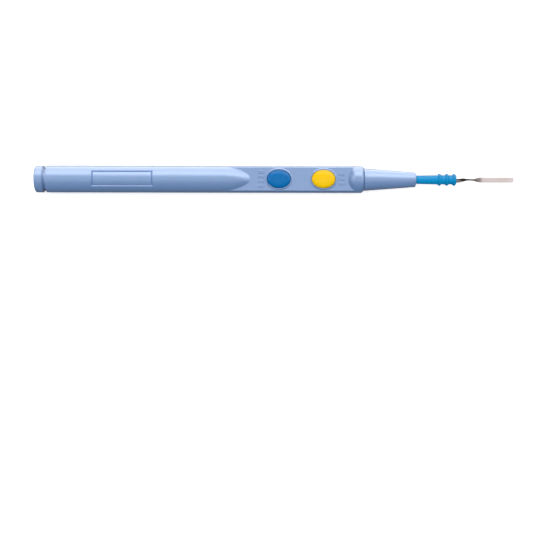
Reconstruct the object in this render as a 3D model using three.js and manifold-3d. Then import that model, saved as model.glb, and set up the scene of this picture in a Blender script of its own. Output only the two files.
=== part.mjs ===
// Hand-switched electrosurgical pencil: a round handle with two push buttons on a flat deck, a tapered nose
// and a plug-in blade electrode in an insulating sleeve.
//
// Every part is drawn in the handle's own frame, in millimetres: X runs from the cord end (x = 0) to the
// blade tip, Y across, and Z up out of the buttons, with Z = 0 on the axis of the barrel. The group at the
// end of the file lays the pencil on its back, buttons up, centred on the origin and resting on Z = 0.

import * as THREE from "three";
import { mergeVertices } from "three/addons/utils/BufferGeometryUtils.js";
import Module from "manifold-3d";

const wasm = await Module();
wasm.setup();

// ---------------------------------------------------------------- driving dimensions

const TOTAL_LENGTH = 200.3; // cord end to blade tip
const BARREL_RADIUS = 5.56;
const WALL = 1.3; // thickness of both shells
const ROUND_SIDES = 48; // sides of every large round surface
const SMALL_SIDES = 24; // sides of shafts, sleeves and bores

const CAP_RIM = 3.3; // length of the rear cap's rim
const BARREL_START = 4.5; // the shells start here, in front of the groove round the cap
const CAP_PLUG_END = 9.5;
const GROOVE_DEPTH = 0.55;
const CORD_BORE_RADIUS = 2.3; // outlet for a 4.5 mm cord

const LABEL = { start: 23.9, end: 49.4, halfWidth: 3.05, depth: 0.4 };

const DECK_HEIGHT = 2.76; // flat deck above the axis
const OGIVE_START = 78.6; // the round barrel starts to sink to the deck
const OGIVE_END = 89.8; // and meets it
const SHOULDER_START = 130.7; // the deck ends at the foot of the collar's round shoulder
const SHOULDER_END = 134;
const COLLAR_END = 136.4;
const SHELL_END = 137.3; // after the collar's chamfer
const COLLAR_TIP_RADIUS = 4.68;

const COAG_X = 101.8; // centre of the rear, blue button
const CUT_X = 120.4; // centre of the front, yellow button
const BUTTON = { halfLength: 4.93, halfWidth: 3.8, clearance: 0.12, dome: 1.15 };
const COAG_MARKS = { x: 94.4, count: 4 }; // raised tactile bars behind the rear button
const CUT_MARKS = { x: 128, count: 3 }; // and in front of the front one
const BOSS = { halfLength: 5.62, halfWidth: 4.63, lip: 0.22, height: 0.5 };
const FLANGE = { halfLength: 5.6, halfWidth: 3.85, thickness: 0.6, gap: 0.02 };

const NOSE_START = 137.4;
const NOSE_END = 159.1;
const NOSE_BASE_RADIUS = 4.66;
const NOSE_TIP_RADIUS = 3.05;
const NOSE_BORE_RADIUS = 2.1;
const SPIGOT = { start: 133.6, radius: 4.0 };

const SHANK_RADIUS = 1.18; // a 2.36 mm (3/32 inch) electrode shank
const ELECTRODE_LENGTH = 68; // about 2.7 inch overall
const SLEEVE = { start: 152.8, end: 176.0, rootRadius: 1.72, radius: 1.93, ribRadius: 2.54, ribWidth: 1.3 };
const RIBS = [169.1, 172.2, 175.25];
const BLADE = { width: 2.08, thickness: 0.5, tipRadius: 0.6 };

const BOARD = { start: 88.5, end: 128.9, halfWidth: 3.5, top: -0.9, thickness: 0.8 };
const SNAP_DOME = { radius: 2.9, height: 0.48, thickness: 0.14 };
const SPACER = { start: 94, end: 127.4, halfWidth: 3.4, thickness: 0.2 };
const LEAD_RADIUS = 0.55;

// ---------------------------------------------------------------- shapes

/** A three.js geometry as a solid, for cutting and joining. */
function solidOf(geometry) {
  const bare = geometry.clone();
  bare.deleteAttribute("normal");
  bare.deleteAttribute("uv");
  const merged = mergeVertices(bare, 1e-5);
  return new wasm.Manifold(
    new wasm.Mesh({
      numProp: 3,
      vertProperties: merged.attributes.position.array,
      triVerts: new Uint32Array(merged.index.array),
    }),
  );
}

/** A solid as a three.js geometry with flat-shaded faces. */
function geometryOf(solid) {
  const mesh = solid.getMesh();
  const geometry = new THREE.BufferGeometry();
  geometry.setAttribute("position", new THREE.BufferAttribute(mesh.vertProperties, mesh.numProp));
  geometry.setIndex(new THREE.BufferAttribute(mesh.triVerts, 1));
  const faceted = geometry.toNonIndexed();
  faceted.computeVertexNormals();
  return faceted;
}

/**
 * A solid turned about the X axis. The profile lists [x, radius] from the cord end to the tip and is closed
 * on the axis. The radius is measured to the middle of the flats, so that one flat faces straight up and
 * another straight down.
 */
function turned(profile, sides = ROUND_SIDES) {
  const stretch = 1 / Math.cos(Math.PI / sides);
  const closed = [[profile[0][0], 0], ...profile, [profile.at(-1)[0], 0]];
  const points = closed.map(([x, radius]) => new THREE.Vector2(radius * stretch, x));
  const lathe = new THREE.LatheGeometry(points, sides, Math.PI / sides);
  return solidOf(lathe.rotateZ(-Math.PI / 2));
}

/** A straight round bar along X. */
function bar(start, end, radius, sides = SMALL_SIDES) {
  return turned([[start, radius], [end, radius]], sides);
}

/** A solid turned about Z and stretched to an ellipse. The profile lists [share of half axes, z] upwards. */
function ellipticTurned(profile, halfLength, halfWidth, sides = 40) {
  const closed = [[0, profile[0][1]], ...profile, [0, profile.at(-1)[1]]];
  const points = closed.map(([share, z]) => new THREE.Vector2(share, z));
  const lathe = new THREE.LatheGeometry(points, sides);
  return solidOf(lathe.rotateX(Math.PI / 2).scale(halfLength, halfWidth, 1));
}

/** A rectangular block between two corners. */
function block([x0, y0, z0], [x1, y1, z1]) {
  const box = new THREE.BoxGeometry(x1 - x0, y1 - y0, z1 - z0);
  return solidOf(box.translate((x0 + x1) / 2, (y0 + y1) / 2, (z0 + z1) / 2));
}

/** A plate of the given outline in the XY plane, from z0 up to z1. */
function plate(outline, z0, z1) {
  const sheet = new THREE.ExtrudeGeometry(outline, { depth: z1 - z0, bevelEnabled: false, curveSegments: 8 });
  return solidOf(sheet.translate(0, 0, z0));
}

/** A rectangle with rounded corners as an outline. */
function roundedRectangle(x0, x1, y0, y1, corner) {
  const outline = new THREE.Shape();
  outline.moveTo(x0 + corner, y0);
  outline.lineTo(x1 - corner, y0);
  outline.absarc(x1 - corner, y0 + corner, corner, -Math.PI / 2, 0);
  outline.lineTo(x1, y1 - corner);
  outline.absarc(x1 - corner, y1 - corner, corner, 0, Math.PI / 2);
  outline.lineTo(x0 + corner, y1);
  outline.absarc(x0 + corner, y1 - corner, corner, Math.PI / 2, Math.PI);
  outline.lineTo(x0, y0 + corner);
  outline.absarc(x0 + corner, y0 + corner, corner, Math.PI, 1.5 * Math.PI);
  return outline;
}

// ---------------------------------------------------------------- materials

const BODY_BLUE = new THREE.MeshStandardMaterial({ color: 0x8fabd6, roughness: 0.5 });
const BUTTON_BLUE = new THREE.MeshStandardMaterial({ color: 0x0f62b4, roughness: 0.3 });
const BUTTON_YELLOW = new THREE.MeshStandardMaterial({ color: 0xf5cf12, roughness: 0.3 });
const SLEEVE_BLUE = new THREE.MeshStandardMaterial({ color: 0x0a98d4, roughness: 0.25 });
const STEEL = new THREE.MeshStandardMaterial({ color: 0xcac6c2, roughness: 0.25, metalness: 1 });
const SPRING_STEEL = new THREE.MeshStandardMaterial({ color: 0xb9bcc0, roughness: 0.3, metalness: 1 });
const BRASS = new THREE.MeshStandardMaterial({ color: 0xc9a24e, roughness: 0.3, metalness: 1 });
const SOLDER = new THREE.MeshStandardMaterial({ color: 0xa9adb2, roughness: 0.35, metalness: 1 });
const BOARD_GREEN = new THREE.MeshStandardMaterial({ color: 0x1d6b3a, roughness: 0.5 });
const FILM_AMBER = new THREE.MeshStandardMaterial({ color: 0xc58a2a, roughness: 0.4 });
const RUBBER_GREY = new THREE.MeshStandardMaterial({ color: 0x6f83a6, roughness: 0.8 });
const SEAL_BLACK = new THREE.MeshStandardMaterial({ color: 0x25282c, roughness: 0.8 });
const WIRE_RED = new THREE.MeshStandardMaterial({ color: 0xb0332b, roughness: 0.5 });
const WIRE_WHITE = new THREE.MeshStandardMaterial({ color: 0xe4e2dc, roughness: 0.5 });
const WIRE_BLUE = new THREE.MeshStandardMaterial({ color: 0x2f5fae, roughness: 0.5 });

/** A named part of the pencil. */
function part(name, solid, material) {
  const mesh = new THREE.Mesh(geometryOf(solid), material);
  mesh.name = name;
  return mesh;
}

// ---------------------------------------------------------------- shells

const LONG = 300; // reaches past every part
const HALF = 20;
const UPPER_HALF = block([-LONG, -HALF, 0], [LONG, HALF, HALF]);
const LOWER_HALF = block([-LONG, -HALF, -HALF], [LONG, HALF, 0]);

/**
 * The ogive behind the deck and the shoulder in front of it, as one turned solid, sunk by inset below the
 * outside. Each is an arc that leaves the barrel tangentially and runs down to just below the deck.
 */
function deckEnds(inset, steps) {
  const drop = BARREL_RADIUS - DECK_HEIGHT;
  const clear = BARREL_RADIUS + 1;
  const arc = (foot, top) =>
    Array.from({ length: steps + 1 }, (_, i) => {
      const share = (1.06 * i) / steps - 0.06; // of the way from the foot to the barrel
      return [foot + (top - foot) * share, DECK_HEIGHT + drop * (1 - (1 - share) ** 2) - inset];
    });
  return turned([
    [OGIVE_START - 10, clear],
    [OGIVE_START, clear],
    ...arc(OGIVE_END, OGIVE_START).reverse(),
    ...arc(SHOULDER_START, SHOULDER_END),
    [SHOULDER_END, clear],
    [SHOULDER_END + 10, clear],
  ]);
}

/** The space above the deck, between the ogive and the shoulder. */
function aboveDeck(inset, steps) {
  const across = BARREL_RADIUS + 1;
  const space = block([OGIVE_START, -across, DECK_HEIGHT - inset], [SHOULDER_END, across, across]);
  return space.subtract(deckEnds(inset, steps));
}

/** The handle as one solid, before it is hollowed and split. */
function handleOutside() {
  const edge = 0.35;
  const barrel = turned([
    [BARREL_START, BARREL_RADIUS - edge],
    [BARREL_START + edge, BARREL_RADIUS],
    [COLLAR_END, BARREL_RADIUS],
    [SHELL_END, COLLAR_TIP_RADIUS],
  ]);
  return barrel.subtract(aboveDeck(0, 8));
}

/** The hollow inside both shells, open at both ends. */
function handleInside() {
  return bar(BARREL_START - 1, SHELL_END + 1, BARREL_RADIUS - WALL, ROUND_SIDES).subtract(aboveDeck(WALL, 3));
}

/** Places along the barrel where a pin of the lower shell sits in a socket of the upper one. */
const PIN_PLACES = [14, 40, 66].flatMap((x) => [[x, -3.1], [x, 3.1]]);
const PIN = { radius: 0.6, postRadius: 1.1, height: 2, depth: 2.4, socketRadius: 0.75 };

/** The space that the fittings inside the shells may fill: out to the middle of the wall. */
function wallMiddle() {
  return bar(BARREL_START - 1, SHELL_END, BARREL_RADIUS - WALL / 2, ROUND_SIDES);
}

/** A round post along Z. */
function post(x, y, z0, z1, radius, sides = 12) {
  const cylinder = new THREE.CylinderGeometry(radius, radius, z1 - z0, sides);
  return solidOf(cylinder.rotateX(Math.PI / 2).translate(x, y, (z0 + z1) / 2));
}

/** The raised oval collar round a button, which slopes out to the deck. */
function buttonBoss(x) {
  const lipLength = BUTTON.halfLength + BUTTON.clearance + BOSS.lip;
  const foot = DECK_HEIGHT - 0.3;
  const profile = [[1, foot], [1, DECK_HEIGHT], [lipLength / BOSS.halfLength, DECK_HEIGHT + BOSS.height]];
  return ellipticTurned(profile, BOSS.halfLength, BOSS.halfWidth).translate([x, 0, 0]);
}

/** The oval hole that a button slides in. */
function buttonHole(x) {
  const { halfLength, halfWidth, clearance } = BUTTON;
  const profile = [[1, -1], [1, HALF]];
  return ellipticTurned(profile, halfLength + clearance, halfWidth + clearance).translate([x, 0, 0]);
}

/** Raised tactile bars beside a button, in a row across the deck. */
function tactileBars(x, count) {
  const mark = { length: 2.5, width: 0.9, height: 0.25, pitch: 1.95, foot: 0.3 };
  const middle = (count - 1) / 2;
  const bars = Array.from({ length: count }, (_, i) => {
    const y = (i - middle) * mark.pitch;
    const [halfLength, halfWidth] = [mark.length / 2, mark.width / 2];
    const outline = roundedRectangle(x - halfLength, x + halfLength, y - halfWidth, y + halfWidth, 0.4);
    return plate(outline, DECK_HEIGHT - mark.foot, DECK_HEIGHT + mark.height);
  });
  return bars.reduce((all, one) => all.add(one));
}

/** The shallow recess for a label, with a floor that follows the barrel. */
function labelRecess() {
  const { start, end, halfWidth, depth } = LABEL;
  const floor = bar(start - 5, end + 5, BARREL_RADIUS - depth, ROUND_SIDES);
  return block([start, -halfWidth, 0], [end, halfWidth, HALF]).subtract(floor);
}

/** Legs under the deck that hold the board down on its ribs. */
function boardLegs() {
  const legs = [[91.5, BOARD.top], [111.1, BOARD.top + SPACER.thickness]].flatMap(([x, foot]) =>
    [-1, 1].map((side) => {
      const [inner, outer] = [2.7, 3.45].map((y) => y * side).sort((a, b) => a - b);
      return block([x - 0.6, inner, foot], [x + 0.6, outer, DECK_HEIGHT - WALL / 2]);
    }),
  );
  return legs.reduce((all, one) => all.add(one));
}

function upperShell() {
  let outside = handleOutside().subtract(labelRecess());
  for (const x of [COAG_X, CUT_X]) outside = outside.add(buttonBoss(x));
  for (const { x, count } of [COAG_MARKS, CUT_MARKS]) outside = outside.add(tactileBars(x, count));
  let shell = outside.subtract(handleInside());
  for (const [x, y] of PIN_PLACES) {
    const socket = post(x, y, -1, BARREL_RADIUS, PIN.postRadius).intersect(wallMiddle());
    shell = shell.add(socket).subtract(post(x, y, -1, PIN.depth, PIN.socketRadius));
  }
  for (const x of [COAG_X, CUT_X]) shell = shell.subtract(buttonHole(x));
  return shell.intersect(UPPER_HALF).add(boardLegs());
}

function lowerShell() {
  let shell = handleOutside().subtract(handleInside());
  const boardBottom = BOARD.top - BOARD.thickness;
  for (const x of [90.5, COAG_X, 111.1, CUT_X, 127.5]) {
    const rib = block([x - 0.5, -HALF, -HALF], [x + 0.5, HALF, boardBottom]);
    shell = shell.add(rib.intersect(wallMiddle()));
  }
  for (const [x, y] of PIN_PLACES) {
    shell = shell.add(post(x, y, -BARREL_RADIUS, 1, PIN.postRadius).intersect(wallMiddle()));
  }
  shell = shell.intersect(LOWER_HALF);
  for (const [x, y] of PIN_PLACES) shell = shell.add(post(x, y, -1, PIN.height, PIN.radius));
  return shell;
}

// ---------------------------------------------------------------- cord end

function rearCap() {
  const round = 0.45;
  const cap = turned([
    [0, BARREL_RADIUS - round],
    [round * 0.3, BARREL_RADIUS - round * 0.3],
    [round, BARREL_RADIUS],
    [CAP_RIM - 0.25, BARREL_RADIUS],
    [CAP_RIM, BARREL_RADIUS - 0.25],
    [CAP_RIM, BARREL_RADIUS - GROOVE_DEPTH],
    [BARREL_START, BARREL_RADIUS - GROOVE_DEPTH],
    [BARREL_START, 4.05],
    [CAP_PLUG_END, 4.05],
  ]);
  return cap.subtract(bar(-1, CAP_PLUG_END + 1, 3.0, 32));
}

/** The soft bush that the cord would leave through, with a flange behind the cap's plug. */
function cordGland() {
  const gland = turned([[0.4, 2.95], [CAP_PLUG_END, 2.95], [CAP_PLUG_END, 3.7], [CAP_PLUG_END + 1, 3.7]], 32);
  return gland.subtract(bar(-1, CAP_PLUG_END + 2, CORD_BORE_RADIUS, 32));
}

// ---------------------------------------------------------------- nose

const SEAL = { start: 155.3, end: 156.7, inner: 1.8, outer: 2.4 };

function noseCone() {
  const round = 0.4;
  const cone = turned([
    [SPIGOT.start, SPIGOT.radius - 0.3],
    [SPIGOT.start + 0.3, SPIGOT.radius],
    [NOSE_START, SPIGOT.radius],
    [NOSE_START, NOSE_BASE_RADIUS],
    [NOSE_END - round, NOSE_TIP_RADIUS],
    [NOSE_END - round * 0.3, NOSE_TIP_RADIUS - round * 0.3],
    [NOSE_END, NOSE_TIP_RADIUS - round],
  ]);
  const socketBore = bar(SPIGOT.start - 1, 152.3, NOSE_BORE_RADIUS, 32);
  const sleeveBore = bar(150, NOSE_END + 1, SLEEVE.rootRadius + 0.14, 32);
  const sealGroove = bar(SEAL.start - 0.1, SEAL.end + 0.1, SEAL.outer + 0.1, 32);
  return cone.subtract(socketBore).subtract(sleeveBore).subtract(sealGroove);
}

function noseSeal() {
  const edge = 0.2;
  const ring = turned([
    [SEAL.start, SEAL.outer - edge],
    [SEAL.start + edge, SEAL.outer],
    [SEAL.end - edge, SEAL.outer],
    [SEAL.end, SEAL.outer - edge],
  ], SMALL_SIDES);
  return ring.subtract(bar(SEAL.start - 1, SEAL.end + 1, SEAL.inner));
}

const SOCKET = { start: 132.2, end: 151.8, radius: 1.6, bore: 1.25, slitStart: 142.5, slitWidth: 0.35 };

/** A brass tube that grips the shank, split into four fingers at its mouth. */
function contactSocket() {
  const { start, end, radius, bore, slitStart, slitWidth } = SOCKET;
  const flange = SPIGOT.start;
  const tube = turned([[start, 2.4], [flange, 2.4], [flange, radius], [end, radius]], SMALL_SIDES);
  const half = slitWidth / 2;
  return tube
    .subtract(bar(start - 1, end + 1, bore))
    .subtract(block([slitStart, -half, -HALF], [end + 1, half, HALF]))
    .subtract(block([slitStart, -HALF, -half], [end + 1, HALF, half]));
}

/** An open spring ring that closes the socket's fingers on the shank. */
function socketSpring() {
  const [start, end] = [146.2, 149];
  const ring = bar(start, end, 1.98).subtract(bar(start - 1, end + 1, 1.66));
  return ring.subtract(block([start - 1, -0.5, 0], [end + 1, 0.5, HALF]));
}

/** The strip that joins the socket to the board, flat on the board and against the socket's flange. */
function socketStrap() {
  const thickness = 0.3;
  const [foot, heel, face] = [125.2, SOCKET.start - thickness, SOCKET.start];
  const outline = new THREE.Shape([
    new THREE.Vector2(foot, BOARD.top),
    new THREE.Vector2(face, BOARD.top),
    new THREE.Vector2(face, 1.5),
    new THREE.Vector2(heel, 1.5),
    new THREE.Vector2(heel, BOARD.top + thickness),
    new THREE.Vector2(foot, BOARD.top + thickness),
  ]);
  const width = 1.8;
  const strip = new THREE.ExtrudeGeometry(outline, { depth: width, bevelEnabled: false });
  return solidOf(strip.rotateX(Math.PI / 2).translate(0, width / 2, 0));
}

// ---------------------------------------------------------------- switches

/** A push button: an oval dome on a straight skirt, a flange that stops it under the deck, and a plunger. */
function pushButton() {
  const { halfLength, halfWidth, dome } = BUTTON;
  const flangeTop = DECK_HEIGHT - WALL - FLANGE.gap;
  const skirtTop = DECK_HEIGHT + BOSS.height + 0.1;
  const profile = [[1, flangeTop - 0.1]];
  const steps = 6;
  for (let i = 0; i < steps; i++) {
    const angle = (i / steps) * (Math.PI / 2);
    profile.push([Math.cos(angle) ** 0.8, skirtTop + dome * Math.sin(angle)]);
  }
  profile.push([0, skirtTop + dome]);
  const cap = ellipticTurned(profile.slice(0, -1), halfLength, halfWidth, 32);
  const flangeProfile = [[1, flangeTop - FLANGE.thickness], [1, flangeTop]];
  const flange = ellipticTurned(flangeProfile, FLANGE.halfLength, FLANGE.halfWidth, 32);
  const plunger = post(0, 0, BOARD.top + SNAP_DOME.height + 0.06, flangeTop - 0.1, 1.2, 16);
  return cap.add(flange).add(plunger);
}

/** A thin domed spring disc that clicks flat when the plunger presses its crown. */
function snapDome() {
  const { radius, height, thickness } = SNAP_DOME;
  const crown = (lift, size) => {
    const steps = 4;
    const profile = [[size, BOARD.top]];
    for (let i = 1; i < steps; i++) {
      const share = 1 - i / steps;
      profile.push([size * share, BOARD.top + lift * (1 - share ** 2)]);
    }
    return [...profile, [0.05, BOARD.top + lift]];
  };
  const outside = ellipticTurned(crown(height, 1), radius, radius, 20);
  const inside = ellipticTurned(crown(height - thickness, 1), radius - thickness, radius - thickness, 20);
  return outside.subtract(inside.translate([0, 0, -0.001]));
}

function circuitBoard() {
  const { start, end, halfWidth, top, thickness } = BOARD;
  return plate(roundedRectangle(start, end, -halfWidth, halfWidth, 0.8), top - thickness, top);
}

/** The sheet on the board that keeps the two snap domes in place. */
function domeSpacer() {
  const { start, end, halfWidth, thickness } = SPACER;
  const outline = roundedRectangle(start, end - 2.6, -halfWidth, halfWidth, 0.6);
  for (const x of [COAG_X, CUT_X]) {
    outline.holes.push(new THREE.Path().absarc(x, 0, SNAP_DOME.radius + 0.2, 0, 2 * Math.PI, true));
  }
  return plate(outline, BOARD.top, BOARD.top + thickness);
}

/** A bead of solder that ends a lead on the board. */
function solderBead(y) {
  const bead = new THREE.SphereGeometry(0.75, 12, 8);
  const placed = bead.scale(1.2, 1, 1.2).translate(90.2, y, BOARD.top);
  return solidOf(placed).intersect(block([80, -HALF, BOARD.top], [100, HALF, HALF]));
}

/**
 * An insulated core of the cord, from the mouth of the gland to its bead on the board. The three cores lie
 * side by side in the barrel and close up into a bundle where they enter the gland.
 */
function lead(y, bundleY, bundleZ) {
  const rise = BOARD.top + LEAD_RADIUS + 0.05;
  const path = new THREE.CatmullRomCurve3([
    new THREE.Vector3(CAP_PLUG_END + 1.3, bundleY, bundleZ),
    new THREE.Vector3(15, bundleY, bundleZ),
    new THREE.Vector3(28, y * 0.63, -1.2),
    new THREE.Vector3(48, y * 0.63, -1.4),
    new THREE.Vector3(68, y * 0.64, -1.1),
    new THREE.Vector3(82, y, rise),
    new THREE.Vector3(89.1, y, rise),
  ]);
  const section = new THREE.Shape().absarc(0, 0, LEAD_RADIUS, 0, 2 * Math.PI);
  return solidOf(new THREE.ExtrudeGeometry(section, { extrudePath: path, steps: 34, curveSegments: 4 }));
}

// ---------------------------------------------------------------- electrode

/** The insulating sleeve: it flares a little from the nose and ends in three round ribs. */
function electrodeSleeve() {
  const { start, end, rootRadius, radius, ribRadius, ribWidth } = SLEEVE;
  const profile = [
    [start, rootRadius - 0.2],
    [start + 0.2, rootRadius],
    [NOSE_END, rootRadius],
    [167.6, radius],
  ];
  for (const rib of RIBS) {
    const steps = 4;
    for (let i = 0; i <= steps; i++) {
      const angle = (i / steps) * Math.PI;
      const x = rib - (ribWidth / 2) * Math.cos(angle);
      profile.push([Math.min(x, end - 0.01), radius + (ribRadius - radius) * Math.sin(angle)]);
    }
  }
  profile.push([end, radius - 0.25]);
  return turned(profile, SMALL_SIDES).subtract(bar(start - 1, end + 1, SHANK_RADIUS + 0.035));
}

/** The electrode's section at x: half width, half thickness, squareness (1 is round), roll in degrees. */
function bladeSection(x) {
  const flat = { start: 178.6, end: 181.2 }; // the shank is coined flat here, edge up
  const twist = { start: 182.6, end: 187.8 }; // and the strip turns its face up here
  const ease = (from, to) => THREE.MathUtils.smoothstep(x, from, to);
  const flattened = ease(flat.start, flat.end);
  const roll = 90 * (1 - ease(twist.start, twist.end));
  const halfThickness = THREE.MathUtils.lerp(SHANK_RADIUS, BLADE.thickness / 2, flattened);
  let halfWidth = THREE.MathUtils.lerp(SHANK_RADIUS, BLADE.width / 2, flattened);
  const intoTip = x - (TOTAL_LENGTH - BLADE.tipRadius);
  if (intoTip > 0) halfWidth -= BLADE.tipRadius - Math.sqrt(BLADE.tipRadius ** 2 - intoTip ** 2);
  return { halfWidth, halfThickness, squareness: THREE.MathUtils.lerp(1, 0.5, flattened), roll };
}

/** The electrode itself: a round shank, coined flat and twisted through a right angle into a blade. */
function electrodeBlade() {
  const start = TOTAL_LENGTH - ELECTRODE_LENGTH;
  const stations = [start, start + 0.4, 178.6];
  for (let x = 179.2; x < 188; x += 0.6) stations.push(x);
  stations.push(192, 196, TOTAL_LENGTH - BLADE.tipRadius);
  for (const share of [0.4, 0.7, 0.9, 1]) stations.push(TOTAL_LENGTH - BLADE.tipRadius * (1 - share));
  const rod = new THREE.CylinderGeometry(1, 1, 1, 16, stations.length - 1);
  const position = rod.attributes.position;
  for (let i = 0; i < position.count; i++) {
    const x = stations[Math.round((position.getY(i) + 0.5) * (stations.length - 1))];
    const { halfWidth, halfThickness, squareness, roll } = bladeSection(x);
    const shrink = x === start ? 0.75 : 1;
    const bow = (value) => Math.sign(value) * Math.abs(value) ** squareness;
    const across = halfWidth * bow(position.getX(i)) * shrink;
    const through = -halfThickness * bow(position.getZ(i)) * shrink; // the minus keeps the faces outward
    const angle = THREE.MathUtils.degToRad(roll);
    const y = across * Math.cos(angle) - through * Math.sin(angle);
    const z = across * Math.sin(angle) + through * Math.cos(angle);
    position.setXYZ(i, x, y, z);
  }
  return solidOf(rod);
}

// ---------------------------------------------------------------- the pencil

const handle = new THREE.Group();
handle.add(
  part("upper_shell", upperShell(), BODY_BLUE),
  part("lower_shell", lowerShell(), BODY_BLUE),
  part("rear_cap", rearCap(), BODY_BLUE),
  part("cord_gland", cordGland(), RUBBER_GREY),
  part("nose_cone", noseCone(), BODY_BLUE),
);

const electronics = new THREE.Group();
electronics.add(
  part("circuit_board", circuitBoard(), BOARD_GREEN),
  part("dome_spacer", domeSpacer(), FILM_AMBER),
  part("contact_socket", contactSocket(), BRASS),
  part("socket_spring", socketSpring(), SPRING_STEEL),
  part("socket_strap", socketStrap(), BRASS),
);

const cores = [
  { name: "active", y: 0, bundle: [0, 0.72], material: WIRE_RED },
  { name: "cut", y: 1.9, bundle: [0.68, -0.5], material: WIRE_WHITE },
  { name: "coag", y: -1.9, bundle: [-0.68, -0.5], material: WIRE_BLUE },
];
for (const { name, y, bundle, material } of cores) {
  electronics.add(part(`${name}_lead`, lead(y, ...bundle), material));
  electronics.add(part(`${name}_solder`, solderBead(y), SOLDER));
}

const switches = [
  { name: "coag", x: COAG_X, material: BUTTON_BLUE },
  { name: "cut", x: CUT_X, material: BUTTON_YELLOW },
];
for (const { name, x, material } of switches) {
  const station = new THREE.Group();
  station.position.x = x;
  station.add(part(`${name}_button`, pushButton(), material));
  station.add(part(`${name}_dome`, snapDome(), SPRING_STEEL));
  electronics.add(station);
}

const electrode = new THREE.Group();
electrode.add(
  part("nose_seal", noseSeal(), SEAL_BLACK),
  part("electrode_sleeve", electrodeSleeve(), SLEEVE_BLUE),
  part("electrode_blade", electrodeBlade(), STEEL),
);

const pencil = new THREE.Group();
pencil.add(handle, electronics, electrode);
pencil.position.set(-TOTAL_LENGTH / 2, 0, BARREL_RADIUS);

export default pencil;
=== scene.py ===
import math

import bmesh
import bpy
from mathutils import Matrix, Vector


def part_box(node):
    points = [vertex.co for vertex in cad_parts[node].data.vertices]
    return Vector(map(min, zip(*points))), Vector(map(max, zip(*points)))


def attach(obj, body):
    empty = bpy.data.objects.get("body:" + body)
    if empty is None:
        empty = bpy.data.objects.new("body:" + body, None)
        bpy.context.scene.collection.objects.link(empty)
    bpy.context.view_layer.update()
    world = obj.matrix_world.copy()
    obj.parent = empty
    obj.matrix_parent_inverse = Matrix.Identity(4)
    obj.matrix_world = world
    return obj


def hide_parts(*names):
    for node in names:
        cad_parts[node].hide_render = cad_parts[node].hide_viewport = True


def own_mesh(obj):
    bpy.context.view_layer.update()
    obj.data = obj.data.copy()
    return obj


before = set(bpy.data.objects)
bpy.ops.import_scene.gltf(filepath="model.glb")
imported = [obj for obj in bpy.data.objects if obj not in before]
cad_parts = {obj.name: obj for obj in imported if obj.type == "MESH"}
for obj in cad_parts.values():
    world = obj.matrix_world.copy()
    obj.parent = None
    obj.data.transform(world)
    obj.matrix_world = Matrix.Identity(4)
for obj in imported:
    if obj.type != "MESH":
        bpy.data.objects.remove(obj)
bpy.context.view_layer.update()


# ------------------------------------------------------------------ camera and light
# The pencil lies on a table with its buttons up. The camera hangs 43 cm over it and a little to the near side,
# and looks straight down with a long lens.

MM = 0.001
CAMERA_STATION = 96.7
CAMERA_SIDE, CAMERA_HEIGHT, CAMERA_TURN = -0.0365, 0.428, 0.0018
cord_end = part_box("rear_cap")[0].x
axis_height = (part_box("rear_cap")[0].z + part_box("rear_cap")[1].z) / 2


def station(distance):
    """The X of a place on the pencil, from its distance in millimetres to the cord end."""
    return cord_end + distance * MM


camera_data = bpy.data.cameras.new("overhead_camera")
camera_data.sensor_width = 36
camera_data.lens = 68.9
camera_data.clip_start = 0.01
camera = bpy.data.objects.new("overhead_camera", camera_data)
camera.location = (station(CAMERA_STATION), CAMERA_SIDE, axis_height + CAMERA_HEIGHT)
camera.rotation_euler.z = CAMERA_TURN
bpy.context.scene.collection.objects.link(camera)
bpy.context.scene.camera = camera
bpy.context.scene.view_settings.view_transform = "Standard"


def softbox(name, place, aim, width, height, watts, gleam):
    """A rectangular studio light at a place, turned to face the point it aims at, for the gleam or for the rest."""
    light_data = bpy.data.lights.new(name, "AREA")
    light_data.shape = "RECTANGLE"
    light_data.size, light_data.size_y = width, height
    light_data.energy = watts
    light = bpy.data.objects.new(name, light_data)
    light.location = place
    light.rotation_euler = (Vector(aim) - Vector(place)).to_track_quat("-Z", "Y").to_euler()
    light.visible_camera = False
    light.visible_glossy = gleam
    light.visible_diffuse = not gleam
    bpy.context.scene.collection.objects.link(light)


softbox("overhead_light", (0, -0.15, 1.05), (0, 0, 0), 1.6, 0.7, 6.6, gleam=False)
softbox("near_fill", (0, -0.6, 0.75), (0, 0, 0), 1.6, 0.5, 1.6, gleam=False)
softbox("side_gleam", (0.1, 0.7, -0.22), (0, 0, -0.22), 1.5, 1.25, 14, gleam=True)
softbox("upper_gleam", (0.1, 0.62, 0.6), (0, 0, 0), 1.5, 0.5, 8, gleam=True)
for name, end in (("cord_end_gleam", -0.75), ("blade_end_gleam", 0.75)):
    softbox(name, (end, 0.12, 0.42), (0, 0, 0), 0.7, 0.7, 2.2, gleam=True)

# The studio round the pencil: pale overhead and on the far side, and dark below and on the near side.
studio = bpy.data.worlds.new("studio")
studio.use_nodes = True
studio_nodes, studio_links = studio.node_tree.nodes, studio.node_tree.links
outlook = studio_nodes.new("ShaderNodeTexCoord")
height = studio_nodes.new("ShaderNodeVectorMath")
height.operation = "DOT_PRODUCT"
height.inputs[1].default_value = (0, 0.85, 0.53)
studio_links.new(outlook.outputs["Generated"], height.inputs[0])
ceiling = studio_nodes.new("ShaderNodeMapRange")
ceiling.interpolation_type = "SMOOTHSTEP"
ceiling.inputs["From Min"].default_value = -0.05
ceiling.inputs["From Max"].default_value = 0.62
ceiling.inputs["To Min"].default_value = 0.16
ceiling.inputs["To Max"].default_value = 0.96
studio_links.new(height.outputs["Value"], ceiling.inputs["Value"])
studio_links.new(ceiling.outputs["Result"], studio_nodes["Background"].inputs["Strength"])
studio_nodes["Background"].inputs["Color"].default_value = (0.97, 0.985, 1, 1)
bpy.context.scene.world = studio


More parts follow.
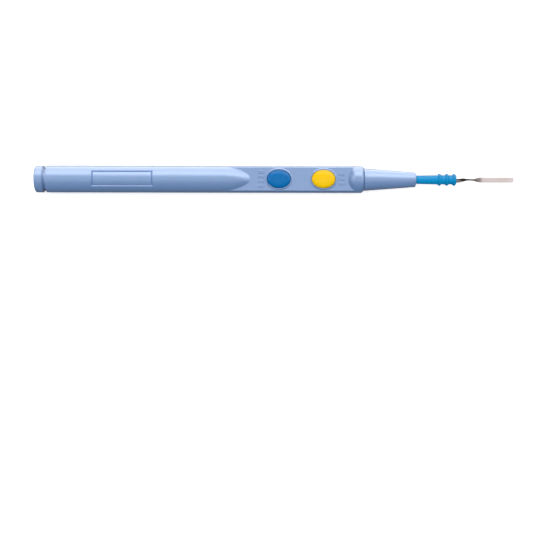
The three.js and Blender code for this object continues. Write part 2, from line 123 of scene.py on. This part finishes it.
# ------------------------------------------------------------------ table
# A plain white table top. It takes the pencil's shadow, but it is kept out of the pencil's reflections and casts no
# shadow itself, so the side light, which stands lower than the table, still reaches the pencil.

table_mesh = bpy.data.meshes.new("table_top")
table_shape = bmesh.new()
bmesh.ops.create_grid(table_shape, x_segments=1, y_segments=1, size=40)
table_shape.to_mesh(table_mesh)
table_shape.free()
table_top = bpy.data.objects.new("table_top", table_mesh)
bpy.context.scene.collection.objects.link(table_top)
table_top.visible_diffuse = False
table_top.visible_glossy = False
table_top.visible_shadow = False

table_paint = bpy.data.materials.new("table_paint")
table_paint.use_nodes = True
table_shader = table_paint.node_tree.nodes["Principled BSDF"]
table_shader.inputs["Base Color"].default_value = (0.82, 0.82, 0.82, 1)
table_shader.inputs["Roughness"].default_value = 0.9
table_shader.inputs["Specular IOR Level"].default_value = 0.1
table_shader.inputs["Emission Color"].default_value = (1, 1, 1, 1)
table_shader.inputs["Emission Strength"].default_value = 0.42
table_mesh.materials.append(table_paint)


# ------------------------------------------------------------------ handle shells
# Two half shells moulded in light blue ABS, 1.3 mm thick, which meet on the middle plane of the handle. The upper
# one has a flat deck for the two buttons, between an ogive behind it and a round shoulder in front, and a shallow
# recess for a label on the barrel.

BARREL_RADIUS = 5.56
DECK_HEIGHT = 2.76
WALL = 1.3
BARREL_OUTLINE = [(4.5, 5.22), (4.56, 5.36), (4.68, 5.48), (4.85, 5.545), (5.0, 5.56), (136.2, 5.56), (136.36, 5.545),
                  (136.5, 5.46), (137.0, 5.05), (137.14, 4.9), (137.22, 4.7), (137.26, 4.3)]
OGIVE = (78.6, 89.8)
SHOULDER = (130.7, 134.0)
LABEL = {"start": 23.9, "end": 49.4, "half_width": 3.3, "depth": 0.22, "channel": 0.34}
SEAM_ROLL = 0.14
COLLAR_SIZE = (5.62, 4.63)
HOLE_SIZE = (5.05, 3.92)
OPENING_SIZE = (5.3, 4.25)
OPENING_INNER_SIZE = (5.2, 4.05)


def srgb(code):
    """A colour written as a hexadecimal code, as linear red, green, blue and alpha."""
    parts = [int(code[i:i + 2], 16) / 255 for i in (1, 3, 5)]
    return [p / 12.92 if p <= 0.04045 else ((p + 0.055) / 1.055) ** 2.4 for p in parts] + [1.0]


def moulded_plastic(name, colour, roughness, mottle=0.05, grain=0.5, rub=0.06, shine=0.5, lacquer=0.0):
    """Moulded plastic: a faint cloudiness in the colour, a fine eroded grain, and gloss worn uneven by hands."""
    material = bpy.data.materials.new(name)
    material.use_nodes = True
    nodes, links = material.node_tree.nodes, material.node_tree.links
    shader = nodes["Principled BSDF"]
    shader.inputs["Specular IOR Level"].default_value = shine
    shader.inputs["Coat Weight"].default_value = lacquer
    shader.inputs["Coat Roughness"].default_value = 0.3
    where = nodes.new("ShaderNodeTexCoord")

    clouds = nodes.new("ShaderNodeTexNoise")
    clouds.inputs["Scale"].default_value = 170
    clouds.inputs["Detail"].default_value = 4
    links.new(where.outputs["Object"], clouds.inputs["Vector"])
    tint = nodes.new("ShaderNodeValToRGB")
    base = srgb(colour)
    for stop, place, gain in zip(tint.color_ramp.elements, (0.3, 0.7), (1 - mottle, 1 + mottle)):
        stop.position = place
        stop.color = [min(1, channel * gain) for channel in base[:3]] + [1]
    links.new(clouds.outputs["Fac"], tint.inputs["Fac"])
    links.new(tint.outputs["Color"], shader.inputs["Base Color"])

    smears = nodes.new("ShaderNodeTexNoise")
    smears.inputs["Scale"].default_value = 420
    smears.inputs["Detail"].default_value = 5
    smears.inputs["Distortion"].default_value = 0.6
    links.new(where.outputs["Object"], smears.inputs["Vector"])
    gloss = nodes.new("ShaderNodeMapRange")
    gloss.inputs["From Min"].default_value = 0.3
    gloss.inputs["From Max"].default_value = 0.7
    gloss.inputs["To Min"].default_value = roughness - rub
    gloss.inputs["To Max"].default_value = roughness + rub
    links.new(smears.outputs["Fac"], gloss.inputs["Value"])
    links.new(gloss.outputs["Result"], shader.inputs["Roughness"])

    pits = nodes.new("ShaderNodeTexNoise")
    pits.inputs["Scale"].default_value = 5200
    pits.inputs["Detail"].default_value = 2
    links.new(where.outputs["Object"], pits.inputs["Vector"])
    relief = nodes.new("ShaderNodeBump")
    relief.inputs["Strength"].default_value = grain
    relief.inputs["Distance"].default_value = 0.00001
    links.new(pits.outputs["Fac"], relief.inputs["Height"])
    links.new(relief.outputs["Normal"], shader.inputs["Normal"])
    return material


handle_blue = moulded_plastic("handle_blue_abs", "#6a8cbd", 0.32, mottle=0.015, grain=0.3, rub=0.015, shine=1.0,
                              lacquer=0.7)


def finished(name, shape, material, body, slot, *stands_for, smooth_angle=35):
    """Turns a finished bmesh into a piece that rides on a body of the pencil and stands for parts of it."""
    bmesh.ops.recalc_face_normals(shape, faces=shape.faces)
    mesh = bpy.data.meshes.new(name)
    shape.to_mesh(mesh)
    shape.free()
    mesh.polygons.foreach_set("use_smooth", [True] * len(mesh.polygons))
    mesh.set_sharp_from_angle(angle=math.radians(smooth_angle))
    mesh.materials.append(material)
    piece = bpy.data.objects.new(name, mesh)
    bpy.context.scene.collection.objects.link(piece)
    weighting = piece.modifiers.new("even_shading", "WEIGHTED_NORMAL")
    weighting.keep_sharp = True
    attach(piece, body)
    if stands_for:
        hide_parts(*stands_for)
    return piece


def soft_min(a, b, fillet):
    near = max(fillet - abs(a - b), 0) / fillet
    return min(a, b) - near * near * fillet / 4


def soft_max(a, b, fillet):
    return -soft_min(-a, -b, fillet)


def smooth_step(low, high, value):
    t = min(max((value - low) / (high - low), 0), 1)
    return t * t * (3 - 2 * t)


def outline_radius(outline, distance):
    """The radius of a turned outline, a list of (distance, radius), at a distance from the cord end."""
    for (d0, r0), (d1, r1) in zip(outline, outline[1:]):
        if distance <= d1:
            return r0 + (r1 - r0) * max(distance - d0, 0) / (d1 - d0)
    return outline[-1][1]


def deck_end_radius(distance):
    """The radius of the ogive and of the shoulder, each an arc that leaves the barrel and runs down to the deck."""
    foot, top = (OGIVE[1], OGIVE[0]) if distance < (OGIVE[1] + SHOULDER[0]) / 2 else SHOULDER
    share = min((distance - foot) / (top - foot), 1)
    return DECK_HEIGHT + (BARREL_RADIUS - DECK_HEIGHT) * (1 - (1 - share) ** 2)


def seam_relief(angle):
    """How far the shells' meeting edges are rolled in, as a share, at an angle round the barrel in radians."""
    gap = min(angle % math.pi, math.pi - angle % math.pi) * BARREL_RADIUS
    return 1 - smooth_step(0, 0.3, gap)


def upper_radius(distance, angle):
    """The outside of the upper shell. The angle goes round the barrel from the near side, 0, over the top."""
    barrel = outline_radius(BARREL_OUTLINE, distance)
    if angle > 0.3 and angle < math.pi - 0.3 and OGIVE[0] - 1 < distance < SHOULDER[1] + 1:
        cut = soft_max(DECK_HEIGHT / math.sin(angle), deck_end_radius(distance), 0.25)
        barrel = soft_min(barrel, cut, 0.1)
    edge = math.acos(LABEL["half_width"] / BARREL_RADIUS)
    inset = min(distance - LABEL["start"], LABEL["end"] - distance,
                BARREL_RADIUS * (angle - edge), BARREL_RADIUS * (math.pi - edge - angle))
    recess = (LABEL["depth"] + LABEL["channel"]) * smooth_step(0, 0.48, inset)
    recess -= LABEL["channel"] * smooth_step(0.5, 0.7, inset)
    return barrel - recess - SEAM_ROLL * seam_relief(angle)


def lower_radius(distance, angle):
    return outline_radius(BARREL_OUTLINE, distance) - SEAM_ROLL * seam_relief(angle)


def steps(start, end, pitch):
    """Even steps from start up to end, without the end."""
    count = max(1, round((end - start) / pitch))
    return [start + (end - start) * i / count for i in range(count)]


def half_shell(radius_at, distances, angles):
    """A sheet wrapped round the barrel, with its columns at the given distances and its rows at the given angles."""
    shape = bmesh.new()
    bmesh.ops.create_grid(shape, x_segments=len(distances) - 1, y_segments=len(angles) - 1, size=1)
    for vertex in shape.verts:
        distance = distances[round((vertex.co.x + 1) / 2 * (len(distances) - 1))]
        angle = angles[round((vertex.co.y + 1) / 2 * (len(angles) - 1))]
        radius = radius_at(distance, angle) * MM
        vertex.co = (station(distance), -radius * math.cos(angle), axis_height + radius * math.sin(angle))
    return shape


def give_wall(shape, thickness):
    """Thickens an open sheet inwards. Its faces point outwards first."""
    middle = Vector((0, 0, axis_height))
    for face in shape.faces:
        outwards = face.calc_center_median() - middle
        outwards.x = 0
        if face.normal.dot(outwards) < 0:
            face.normal_flip()
    bmesh.ops.solidify(shape, geom=shape.faces[:], thickness=thickness * MM)


barrel_steps = (
    [d for d, _ in BARREL_OUTLINE[:5]] + steps(5.2, 23.8, 3) + steps(23.8, 24.7, 0.045) + steps(24.7, 48.6, 3)
    + steps(48.6, 49.5, 0.045) + steps(49.5, 78.6, 3) + steps(78.6, 91, 0.2) + steps(91, 130, 0.45)
    + steps(130, 134.4, 0.1) + steps(134.4, 136.2, 0.6) + [d for d, _ in BARREL_OUTLINE[5:]]
)
seam_steps = [0, 0.01, 0.02, 0.032, 0.044, 0.056, 0.08]
quarter = (
    seam_steps + steps(0.14, 0.44, 0.06) + steps(0.44, 0.62, 0.015) + steps(0.62, 0.92, 0.03)
    + steps(0.92, 1.08, 0.008) + steps(1.08, math.pi / 2, 0.035)
)
upper_angles = quarter + [math.pi / 2] + [math.pi - a for a in reversed(quarter)]
upper = half_shell(upper_radius, barrel_steps, upper_angles)



def oval_reach(place, centre, size):
    """How far out a place is from an oval's centre, with 1 at its edge. The size is half its length and width."""
    return math.hypot((place.x - centre.x) / (size[0] * MM), (place.y - centre.y) / (size[1] * MM))


button_centres = [sum(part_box(button), Vector()) / 2 for button in ("coag_button", "cut_button")]
for centre in button_centres:
    middles = [(face, face.calc_center_median()) for face in upper.faces]
    under_collar = [
        face for face, middle in middles
        if middle.z > axis_height and oval_reach(middle, centre, OPENING_SIZE) < 1
    ]
    bmesh.ops.delete(upper, geom=under_collar, context="FACES")
give_wall(upper, WALL)
# Thickening leans the wall's inner edge into the hole beside each button, so that edge is set back under the collar.
for centre in button_centres:
    for vertex in upper.verts:
        reach = oval_reach(vertex.co, centre, OPENING_INNER_SIZE)
        if reach < 1 and vertex.co.z > axis_height:
            vertex.co.x = centre.x + (vertex.co.x - centre.x) / reach
            vertex.co.y = centre.y + (vertex.co.y - centre.y) / reach
finished("upper_shell_body", upper, handle_blue, "handle", "body_blue", "upper_shell")

lower_steps = [d for d, _ in BARREL_OUTLINE[:5]] + steps(5.2, 136.2, 6) + [d for d, _ in BARREL_OUTLINE[5:]]
lower_quarter = seam_steps + steps(0.14, math.pi / 2, 0.05)
lower_angles = [math.pi + a for a in lower_quarter + [math.pi / 2] + [math.pi - a for a in reversed(lower_quarter)]]
lower = half_shell(lower_radius, lower_steps, lower_angles)
give_wall(lower, WALL)
finished("lower_shell_body", lower, handle_blue, "handle", "body_blue", "lower_shell")


# ------------------------------------------------------------------ button collars
# Each button slides in an oval hole with a raised collar, moulded in one with the upper shell. The collar has a
# narrow flat lip and slopes out to the deck, so that a finger finds the button without looking.


def oval_rings(shape, start, rings):
    """Draws an oval edge and extrudes it through rings, each (half length, half width, height above the axis)."""
    def lay(vertices, ring):
        for vertex in vertices:
            turn = math.atan2(vertex[1].y, vertex[1].x)
            vertex[0].co = (start.x + ring[0] * MM * math.cos(turn), start.y + ring[1] * MM * math.sin(turn),
                            axis_height + ring[2] * MM)

    circle = bmesh.ops.create_circle(shape, cap_ends=False, radius=1, segments=96)["verts"]
    around = [(vertex, vertex.co.copy()) for vertex in circle]
    lay(around, rings[0])
    edge = [e for e in shape.edges if e.verts[0] in circle and e.verts[1] in circle]
    first_edge = edge
    for ring in rings[1:]:
        grown = bmesh.ops.extrude_edge_only(shape, edges=edge)["geom"]
        edge = [g for g in grown if isinstance(g, bmesh.types.BMEdge) and g.is_boundary]
        fresh = {g for g in grown if isinstance(g, bmesh.types.BMVert)}
        pairs = []
        for vertex, turn in around:
            partner = next(e.other_vert(vertex) for e in vertex.link_edges if e.other_vert(vertex) in fresh)
            pairs.append((partner, turn))
        around = pairs
        lay(around, ring)
    return first_edge, edge


def button_collar(name, button):
    low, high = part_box(button)
    centre = (low + high) / 2
    top = DECK_HEIGHT + 0.5
    shape = bmesh.new()
    rings = [
        (*HOLE_SIZE, DECK_HEIGHT - WALL),
        (*HOLE_SIZE, top - 0.07),
        (HOLE_SIZE[0] + 0.02, HOLE_SIZE[1] + 0.02, top - 0.02),
        (HOLE_SIZE[0] + 0.07, HOLE_SIZE[1] + 0.07, top),
        (HOLE_SIZE[0] + 0.2, HOLE_SIZE[1] + 0.26, top),
        (HOLE_SIZE[0] + 0.26, HOLE_SIZE[1] + 0.33, top - 0.03),
        (HOLE_SIZE[0] + 0.32, HOLE_SIZE[1] + 0.41, top - 0.1),
        (COLLAR_SIZE[0] - 0.08, COLLAR_SIZE[1] - 0.08, DECK_HEIGHT + 0.06),
        (COLLAR_SIZE[0] + 0.06, COLLAR_SIZE[1] + 0.04, DECK_HEIGHT + 0.01),
        (COLLAR_SIZE[0] + 0.06, COLLAR_SIZE[1] + 0.04, DECK_HEIGHT - 0.12),
        (COLLAR_SIZE[0], COLLAR_SIZE[1] - 0.5, DECK_HEIGHT - WALL),
    ]
    inner, outer = oval_rings(shape, centre, rings)
    bmesh.ops.bridge_loops(shape, edges=inner + outer)
    finished(name, shape, handle_blue, "handle", "body_blue")


button_collar("coag_collar", "coag_button")
button_collar("cut_collar", "cut_button")


# ------------------------------------------------------------------ tactile bars
# Raised bars moulded on the deck beside each button tell the two apart by touch: four behind the rear button and
# three in front of the front one.

BAR_SIZE = (2.5, 1.15, 0.34)
BAR_PITCH = 1.95


def tactile_bars(name, distance, count):
    shape = bmesh.new()
    for i in range(count):
        side = (i - (count - 1) / 2) * BAR_PITCH
        low = DECK_HEIGHT - 0.2
        top = DECK_HEIGHT + BAR_SIZE[2]
        at = Matrix.Translation((station(distance), side * MM, axis_height + (low + top) / 2 * MM))
        size = Matrix.Diagonal((BAR_SIZE[0] * MM, BAR_SIZE[1] * MM, (top - low) * MM, 1))
        bar = bmesh.ops.create_cube(shape, size=1, matrix=at @ size)["verts"]
        edges = {e for v in bar for e in v.link_edges}
        upright = [e for e in edges if abs(e.verts[0].co.z - e.verts[1].co.z) > 1e-5]
        rounded = bmesh.ops.bevel(shape, geom=upright, offset=0.4 * MM, offset_type="OFFSET", segments=6,
                                  profile=0.5, affect="EDGES", clamp_overlap=True, material=-1)
        rims = {e for v in rounded["verts"] for e in v.link_edges}
        rims = [e for e in rims if e.is_valid and all(v.co.z > axis_height + (top - 0.01) * MM for v in e.verts)
                and e.calc_face_angle(0) > 0.5]
        bmesh.ops.bevel(shape, geom=rims, offset=0.16 * MM, offset_type="OFFSET", segments=3,
                        profile=0.5, affect="EDGES", clamp_overlap=True, material=-1)
        tops = [f for f in shape.faces if f.normal.z > 0.9 and abs(f.calc_center_median().y - side * MM) < 0.1 * MM]
        crown = max(tops, key=lambda f: f.calc_area())
        bmesh.ops.inset_region(shape, faces=[crown], thickness=0.12 * MM)
        bmesh.ops.inset_region(shape, faces=[crown], thickness=0.08 * MM, depth=-0.14 * MM)
    finished(name, shape, handle_blue, "handle", "body_blue")


tactile_bars("coag_marks", 94.4, 4)
tactile_bars("cut_marks", 128, 3)


# ------------------------------------------------------------------ rear cap
# A moulded cap that plugs into the back of the shells. A groove runs round it in front of its rim, and the cord's
# gland sits in the bore.


def turned(shape, outline, sides=128, soften=0.0):
    """Spins an outline of (distance, radius) points round the pencil's axis. It is closed back to its first point."""
    points = [shape.verts.new((station(d), 0, axis_height + r * MM)) for d, r in outline]
    ring = [shape.edges.new((a, b)) for a, b in zip(points, points[1:] + points[:1])]
    bmesh.ops.spin(shape, geom=points + ring, cent=(0, 0, axis_height), axis=(1, 0, 0), dvec=(0, 0, 0),
                   angle=2 * math.pi, steps=sides, use_merge=True)
    bmesh.ops.remove_doubles(shape, verts=shape.verts, dist=1e-7)
    if soften:
        sharp = [e for e in shape.edges if e.is_manifold and e.calc_face_angle(0) > math.radians(25)]
        bmesh.ops.bevel(shape, geom=sharp, offset=soften * MM, offset_type="OFFSET", segments=3, profile=0.5,
                        affect="EDGES", clamp_overlap=True, material=-1)
    return shape


def arc(distance, radius, size, start, end, count=6):
    """Points on a quarter of a circle or so in an outline, about a centre, between two angles in degrees."""
    turns = [math.radians(start + (end - start) * i / count) for i in range(count + 1)]
    return [(distance + size * math.cos(t), radius + size * math.sin(t)) for t in turns]


cap_outline = (
    [(0, 3.0)]
    + arc(0.5, BARREL_RADIUS - 0.5, 0.5, 180, 90)
    + arc(3.02, BARREL_RADIUS - 0.28, 0.28, 90, 0, 4)
    + [(3.3, 5.06), (3.34, 5.0), (3.6, 4.97), (3.66, 4.9), (3.7, 4.35), (4.5, 4.35)]
    + [(4.5, 4.05), (9.5, 4.05), (9.5, 3.0)]
)
cap = turned(bmesh.new(), cap_outline)
finished("rear_cap_body", cap, handle_blue, "handle", "body_blue", "rear_cap")


# ------------------------------------------------------------------ nose cone
# A separate moulding that plugs into the front of the shells and tapers to a rounded mouth. The electrode's sleeve
# passes through it.

nose_outline = (
    [(133.6, 2.12), (133.6, 3.7), (133.9, 4.0), (137.4, 4.0), (137.4, 4.45)]
    + arc(137.58, 4.46, 0.18, 175, 95, 3)
    + [(137.9, 4.63)]
    + arc(158.62, 2.59, 0.48, 83, 0)
    + arc(158.86, 2.1, 0.24, 0, -90, 4)
    + [(152.3, 1.86), (152.3, 2.12)]
)
nose = turned(bmesh.new(), nose_outline)
finished("nose_cone_body", nose, handle_blue, "handle", "body_blue", "nose_cone")


# ------------------------------------------------------------------ cord gland
# A soft bush in the rear cap for the cord to leave through, held by a flange behind the cap's plug.

gland_rubber = moulded_plastic("gland_rubber", "#5f7294", 0.75, mottle=0.08, grain=0.8, rub=0.05)
gland_outline = (
    arc(0.62, 2.55, 0.22, 270, 180, 3)
    + arc(0.62, 2.73, 0.22, 180, 90, 3)
    + [(9.5, 2.95), (9.5, 3.7), (10.5, 3.7), (10.5, 2.3)]
)
gland = turned(bmesh.new(), gland_outline)
finished("cord_gland_body", gland, gland_rubber, "handle", "gland_rubber", "cord_gland")


# ------------------------------------------------------------------ push buttons
# Two glossy oval buttons with a shallow crown, moulded in through-dyed plastic. A flange under the deck keeps each
# one in, and a plunger below it presses the snap dome.


def push_button(name, node, material, slot, body):
    low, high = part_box(node)
    centre = (low + high) / 2
    foot, crown = (low.z - axis_height) / MM, (high.z - axis_height) / MM
    half_length, half_width = 4.93, 3.8
    skirt = DECK_HEIGHT + 0.6
    rise = crown - skirt
    flange = DECK_HEIGHT - WALL - 0.02
    rings = [
        (0.02, 0.02, foot), (1.1, 1.1, foot), (1.2, 1.2, foot + 0.1), (1.2, 1.2, flange - 0.6),
        (5.55, 3.8, flange - 0.6), (5.6, 3.85, flange - 0.55), (5.6, 3.85, flange - 0.05), (5.55, 3.8, flange),
        (half_length, half_width, flange), (half_length, half_width, skirt - 0.2),
    ]
    count = 22
    for i in range(count):
        turn = math.radians(88.5 * i / (count - 1))
        share = math.cos(turn) ** 0.72
        lift = skirt - 0.15 + (rise + 0.15) * math.sin(turn) ** 1.15
        rings.append((half_length * share, half_width * share, lift))
    shape = bmesh.new()
    bottom, top = oval_rings(shape, centre, rings)
    bmesh.ops.edgeloop_fill(shape, edges=bottom)
    bmesh.ops.edgeloop_fill(shape, edges=top)
    finished(name, shape, material, body, slot, node)


button_blue = moulded_plastic("button_blue_gloss", "#0069ac", 0.17, mottle=0.02, grain=0.1, rub=0.04, shine=0.16)
button_yellow = moulded_plastic("button_yellow_gloss", "#efc103", 0.17, mottle=0.03, grain=0.1, rub=0.04, shine=0.14)
push_button("coag_button_cap", "coag_button", button_blue, "button_blue", "coag_switch")
push_button("cut_button_cap", "cut_button", button_yellow, "button_yellow", "cut_switch")


# ------------------------------------------------------------------ electrode sleeve
# A glossy blue insulating sleeve, shrunk and moulded on the electrode's shank. It flares a little from the nose,
# and three round ribs at its front end give a grip for pulling the electrode out.

sleeve_blue = moulded_plastic("sleeve_blue_gloss", "#008bc6", 0.16, mottle=0.02, grain=0.1, rub=0.03, shine=0.18)
SLEEVE_RADIUS = 1.93
sleeve_outline = [(152.8, 1.22), (152.8, 1.56), (152.95, 1.7), (153.1, 1.72), (159.1, 1.72), (163, 1.82)]
for rib, half_width in ((169.1, 0.62), (172.2, 0.62), (175.25, 0.68)):
    sleeve_outline.append((rib - half_width - 0.5, SLEEVE_RADIUS))
    for i in range(15):
        along = -1.25 + 2.5 * i / 14
        lift = math.cos(min(abs(along), 1.25) / 1.25 * math.pi / 2) ** 1.1
        place = rib + along * half_width
        if place < 175.93:
            sleeve_outline.append((place, SLEEVE_RADIUS + 0.61 * lift))
sleeve_outline += [(175.99, 2.0), (176.0, 1.85), (176.0, 1.3), (175.9, 1.22)]
sleeve = turned(bmesh.new(), sleeve_outline, sides=96)
finished("electrode_sleeve_body", sleeve, sleeve_blue, "electrode", "sleeve_blue", "electrode_sleeve")


# ------------------------------------------------------------------ electrode
# One piece of stainless steel rod: a round shank, coined flat just past the sleeve, and given a quarter turn so
# that the flat blade lies face up, with rounded corners at the tip. Its narrow edges are painted near-black from
# the sleeve mouth to the end of the turn.

SHANK_RADIUS = 1.18
BLADE_WIDTH, BLADE_THICKNESS, TIP_RADIUS = 2.08, 0.5, 0.6


def drawn_steel(name, colour, roughness):
    """Drawn and coined stainless steel: fine lines along the rod and a faint stain of heat."""
    material = bpy.data.materials.new(name)
    material.use_nodes = True
    nodes, links = material.node_tree.nodes, material.node_tree.links
    shader = nodes["Principled BSDF"]
    shader.inputs["Metallic"].default_value = 1
    where = nodes.new("ShaderNodeTexCoord")
    stretch = nodes.new("ShaderNodeMapping")
    stretch.inputs["Scale"].default_value = (90, 9000, 9000)
    links.new(where.outputs["Object"], stretch.inputs["Vector"])
    lines = nodes.new("ShaderNodeTexNoise")
    lines.inputs["Scale"].default_value = 1
    lines.inputs["Detail"].default_value = 3
    links.new(stretch.outputs["Vector"], lines.inputs["Vector"])
    stain = nodes.new("ShaderNodeTexNoise")
    stain.inputs["Scale"].default_value = 260
    stain.inputs["Detail"].default_value = 3
    links.new(where.outputs["Object"], stain.inputs["Vector"])
    tint = nodes.new("ShaderNodeValToRGB")
    base = srgb(colour)
    for stop, place, gain in zip(tint.color_ramp.elements, (0.32, 0.68), (0.93, 1.03)):
        stop.position = place
        stop.color = [min(1, base[0] * gain), min(1, base[1] * gain), min(1, base[2] * gain * gain), 1]
    links.new(stain.outputs["Fac"], tint.inputs["Fac"])
    links.new(tint.outputs["Color"], shader.inputs["Base Color"])
    gloss = nodes.new("ShaderNodeMapRange")
    gloss.inputs["From Min"].default_value = 0.3
    gloss.inputs["From Max"].default_value = 0.7
    gloss.inputs["To Min"].default_value = roughness - 0.06
    gloss.inputs["To Max"].default_value = roughness + 0.08
    links.new(lines.outputs["Fac"], gloss.inputs["Value"])
    links.new(gloss.outputs["Result"], shader.inputs["Roughness"])
    relief = nodes.new("ShaderNodeBump")
    relief.inputs["Strength"].default_value = 0.25
    relief.inputs["Distance"].default_value = 0.000006
    links.new(lines.outputs["Fac"], relief.inputs["Height"])
    links.new(relief.outputs["Normal"], shader.inputs["Normal"])
    return material


def blade_section(distance):
    """Half width, half thickness, squareness and turn of the rod at a distance from the cord end."""
    flattened = smooth_step(176.8, 181.6, distance)
    turn = math.radians(90 * (1 - smooth_step(182.6, 187.8, distance)))
    half_width = SHANK_RADIUS + (BLADE_WIDTH / 2 - SHANK_RADIUS) * flattened
    half_thickness = SHANK_RADIUS + (BLADE_THICKNESS / 2 - SHANK_RADIUS) * flattened
    tip = (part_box("electrode_blade")[1].x - cord_end) / MM
    into_tip = distance - (tip - TIP_RADIUS)
    if into_tip > 0:
        half_width -= TIP_RADIUS - math.sqrt(max(TIP_RADIUS ** 2 - into_tip ** 2, 0))
        half_thickness -= 0.1 * (into_tip / TIP_RADIUS) ** 4
    return half_width, half_thickness, 1 - 0.8 * flattened, turn


def lay_section(pairs, distance, shrink=1.0):
    half_width, half_thickness, squareness, turn = blade_section(distance)
    narrow = 0.73 + 0.27 * squareness ** 1.5
    # The narrow edges of the coined rod are painted near-black from the sleeve mouth, fading out by the end of the
    # turn.
    fade = smooth_step(175.6, 176, distance) * (1 - 0.35 * smooth_step(181, 184, distance))
    fade *= 1 - smooth_step(184, 188.5, distance)
    for vertex, around in pairs:
        vertex[dark_edge] = fade * smooth_step(narrow - 0.07, narrow, abs(around.x))
        across = half_width * shrink * math.copysign(abs(around.x) ** squareness, around.x)
        through = half_thickness * shrink * math.copysign(abs(around.y) ** squareness, around.y)
        vertex.co = (
            station(distance),
            (across * math.cos(turn) - through * math.sin(turn)) * MM,
            axis_height + (across * math.sin(turn) + through * math.cos(turn)) * MM,
        )


blade_low, blade_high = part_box("electrode_blade")
root, tip = (blade_low.x - cord_end) / MM, (blade_high.x - cord_end) / MM
blade_steps = (
    [(root, 0.8), (root + 0.25, 1), (175.6, 1)]
    + [(d, 1) for d in steps(176, 188, 0.2)]
    + [(d, 1) for d in (188, 190, 195, tip - TIP_RADIUS)]
    + [(tip - TIP_RADIUS * (1 - math.sin(math.radians(a))), 1) for a in (15, 30, 45, 60, 72, 82, 89)]
)
blade = bmesh.new()
dark_edge = blade.verts.layers.float.new("dark_edge")
first = bmesh.ops.create_circle(blade, cap_ends=False, radius=1, segments=96)["verts"]
pairs = [(v, v.co.copy()) for v in first]
lay_section(pairs, *blade_steps[0])
root_edge = blade.edges[:]
edge = root_edge
for place in blade_steps[1:]:
    grown = bmesh.ops.extrude_edge_only(blade, edges=edge)["geom"]
    edge = [g for g in grown if isinstance(g, bmesh.types.BMEdge) and g.is_boundary]
    fresh = {g for g in grown if isinstance(g, bmesh.types.BMVert)}
    pairs = [
        (next(e.other_vert(v) for e in v.link_edges if e.other_vert(v) in fresh), around) for v, around in pairs
    ]
    lay_section(pairs, *place)
bmesh.ops.edgeloop_fill(blade, edges=root_edge)
bmesh.ops.edgeloop_fill(blade, edges=edge)
blade_steel = drawn_steel("blade_steel", "#c6bab9", 0.36)
blade_nodes, blade_links = blade_steel.node_tree.nodes, blade_steel.node_tree.links
blade_shader = blade_nodes["Principled BSDF"]
blade_shader.inputs["Metallic"].default_value = 0.65
# Near-black is painted on the rod's narrow edges, mixed in by the attribute that lay_section lays on each vertex.
dark_edge_reader = blade_nodes.new("ShaderNodeAttribute")
dark_edge_reader.attribute_name = "dark_edge"
dark_edge_mix = blade_nodes.new("ShaderNodeMix")
dark_edge_mix.data_type = "RGBA"
bare = blade_shader.inputs["Base Color"].links[0].from_socket
blade_links.new(dark_edge_reader.outputs["Fac"], dark_edge_mix.inputs[0])
blade_links.new(bare, dark_edge_mix.inputs[6])
dark_edge_mix.inputs[7].default_value = srgb("#120904")
blade_links.new(dark_edge_mix.outputs[2], blade_shader.inputs["Base Color"])
finished("electrode_blade_body", blade, blade_steel, "electrode", "electrode_steel", "electrode_blade",
         smooth_angle=50)


# ------------------------------------------------------------------ contacts
# The parts that carry the current from the board to the electrode: a turned brass socket split into four fingers,
# a spring ring that closes them, a strap, and the two snap domes of sprung steel.


def repaint(node, material):
    """Gives a CAD part its finish."""
    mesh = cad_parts[node].data
    mesh.materials.clear()
    mesh.materials.append(material)


contact_brass = drawn_steel("contact_brass", "#c9a24e", 0.3)
spring_steel = drawn_steel("spring_steel", "#b9bcc0", 0.26)
for node in ("contact_socket", "socket_strap"):
    repaint(node, contact_brass)
repaint("socket_spring", spring_steel)

DOME_RADIUS, DOME_THICKNESS = 2.9, 0.14


def snap_dome(name, node):
    """A thin domed disc under a button's plunger. Pressing the button flattens it; here it is built in its raised
    shape only.
    """
    low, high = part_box(node)
    centre = (low + high) / 2
    rim, rise = (low.z - axis_height) / MM, (high.z - low.z) / MM
    inside = DOME_RADIUS - DOME_THICKNESS
    shares = [0.01] + [0.125 * i for i in range(1, 9)]
    rings = [(DOME_RADIUS * share, DOME_RADIUS * share, rim + rise * (1 - share ** 2)) for share in shares]
    for share in reversed(shares):
        rings.append((inside * share, inside * share, rim + (rise - DOME_THICKNESS) * (1 - share ** 2)))
    shape = bmesh.new()
    for edge in oval_rings(shape, centre, rings):
        bmesh.ops.edgeloop_fill(shape, edges=edge)
    dome = finished(name, shape, spring_steel, "handle", "spring_steel", node)
    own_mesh(dome)


snap_dome("coag_dome_disc", "coag_dome")
snap_dome("cut_dome_disc", "cut_dome")


# ------------------------------------------------------------------ seal
# A black rubber ring in a groove of the nose, which keeps fluid out and steadies the sleeve.

seal_rubber = moulded_plastic("seal_rubber", "#25282c", 0.7, mottle=0.15, grain=0.6, rub=0.06)
repaint("nose_seal", seal_rubber)


# ------------------------------------------------------------------ board, spacer, leads and solder
# A small circuit board under the deck with an amber spacer sheet that locates the domes, and three insulated
# leads that end in beads of solder.

board_green = moulded_plastic("board_green_mask", "#1d6b3a", 0.35, mottle=0.12, grain=0.3, rub=0.06)
spacer_film = moulded_plastic("spacer_film_amber", "#c58a2a", 0.3, mottle=0.06, grain=0.1, rub=0.05)
repaint("circuit_board", board_green)
repaint("dome_spacer", spacer_film)
solder = drawn_steel("solder_bright", "#a9adb2", 0.32)
for lead, colour in (("active", "#b0332b"), ("cut", "#e4e2dc"), ("coag", "#2f5fae")):
    repaint(f"{lead}_lead", moulded_plastic(f"{lead}_lead_sheath", colour, 0.45, mottle=0.04, grain=0.2, rub=0.05))
    repaint(f"{lead}_solder", solder)
